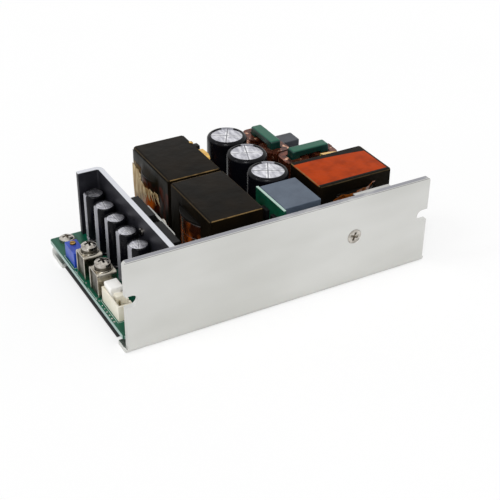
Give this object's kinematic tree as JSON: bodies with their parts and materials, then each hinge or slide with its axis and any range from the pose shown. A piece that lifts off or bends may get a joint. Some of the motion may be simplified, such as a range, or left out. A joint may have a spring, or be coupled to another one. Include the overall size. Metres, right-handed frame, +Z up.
{
  "type": "open frame power supply",
  "caption": "Open frame power supply on an L-shaped aluminium chassis, with screw terminals for the output, tall wound parts and capacitors on a green board.",
  "frame": {"origin": "middle of the chassis base, on its underside", "axes": "+X along the side wall from the output end to the input end, +Y from the side wall to the open side, +Z up"},
  "size_m": [0.127, 0.0762, 0.0382],
  "materials": {
    "chassis_sheet": "satin folded aluminium sheet with bright cut edges",
    "black_film": "matt black insulating film",
    "spacer_metal": "plain turned metal",
    "board_green": "green solder mask over glass laminate, pale cut edge",
    "screw_metal": "nickel plated screws",
    "heat_sink_plate": "aluminium plate, bright edges",
    "package_black": "moulded black packages with tinned leads",
    "cap_sleeve": "dark shrink sleeve round a bright aluminium can top",
    "terminal_metal": "nickel plated brass strip",
    "connector_ivory": "ivory nylon",
    "pin_metal": "tinned brass pins",
    "plug_white": "white nylon",
    "trimmer_blue": "royal blue moulded plastic",
    "trimmer_brass": "turned brass",
    "ferrite": "dark sintered ferrite with a soft sheen",
    "bobbin_black": "moulded black plastic",
    "winding_copper": "copper winding under amber and yellow tape",
    "tape_amber": "clear amber tape",
    "choke_ferrite": "green coated ferrite",
    "choke_copper": "flat enamelled copper wire",
    "x_cap_grey": "dark grey plastic case",
    "film_cap_grey": "slate blue grey plastic case",
    "clamp_metal": "satin aluminium",
    "thermistor_body": "dark dipped coating",
    "y_cap_blue": "blue dipped coating",
    "cap_top": "bare scored aluminium can top",
    "solder": "bright solder and tinned pads",
    "board_ink": "pale printed outlines",
    "tape_cream": "cream and tan margin tape",
    "tape_yellow": "yellow tape",
    "chip_ceramic": "small ceramic parts on the board"
  },
  "bodies": {
    "root": {"chassis": "chassis_sheet", "insulating_sheet": "black_film", "board_spacers": "spacer_metal", "main_board": "board_green", "board_screws": "screw_metal", "output_heat_sink": "heat_sink_plate", "output_rectifiers": "package_black", "rectifier_clip": "spacer_metal", "clip_screw": "screw_metal", "output_capacitor_1": "cap_sleeve", "output_capacitor_2": "cap_sleeve", "output_capacitor_3": "cap_sleeve", "output_capacitor_4": "cap_sleeve", "output_capacitor_5": "cap_sleeve", "positive_terminal": "terminal_metal", "negative_terminal": "terminal_metal", "terminal_screws": "screw_metal", "lock_washers": "screw_metal", "flat_washers": "screw_metal", "output_connector": "connector_ivory", "connector_pins": "pin_metal", "shorting_plug": "plug_white", "trimmer_body": "trimmer_blue", "main_transformer_core": "ferrite", "main_transformer_bobbin": "bobbin_black", "main_transformer_winding": "winding_copper", "main_transformer_tape": "tape_amber", "resonant_choke_core": "ferrite", "resonant_choke_bobbin": "bobbin_black", "resonant_choke_winding": "winding_copper", "resonant_choke_tape": "tape_amber", "boost_choke_core": "ferrite", "boost_choke_bobbin": "bobbin_black", "boost_choke_winding": "winding_copper", "boost_choke_tape": "tape_amber", "bulk_capacitor_1": "cap_sleeve", "bulk_capacitor_2": "cap_sleeve", "bulk_capacitor_3": "cap_sleeve", "line_choke_1_core": "choke_ferrite", "line_choke_1_winding": "choke_copper", "line_choke_1_base": "bobbin_black", "line_choke_2_core": "choke_ferrite", "line_choke_2_winding": "choke_copper", "line_choke_2_base": "bobbin_black", "x_capacitor": "x_cap_grey", "film_capacitor": "film_cap_grey", "control_board": "board_green", "control_chips": "package_black", "clamp_plate": "clamp_metal", "bridge_rectifier": "package_black", "wall_screw": "screw_metal", "wall_nut": "screw_metal", "input_connector": "connector_ivory", "input_pins": "pin_metal", "fuse": "bobbin_black", "thermistor": "thermistor_body", "y_capacitors": "y_cap_blue"},
    "trimmer_screw": {"trimmer_screw": "trimmer_brass"}
  },
  "joints": [
    {"name": "trimmer_adjust", "type": "hinge", "parent": "root", "child": "trimmer_screw", "pos_m": [-0.06, 0.01911, 0.0129], "axis": [0, 0, 1], "continuous": true}
  ]
}
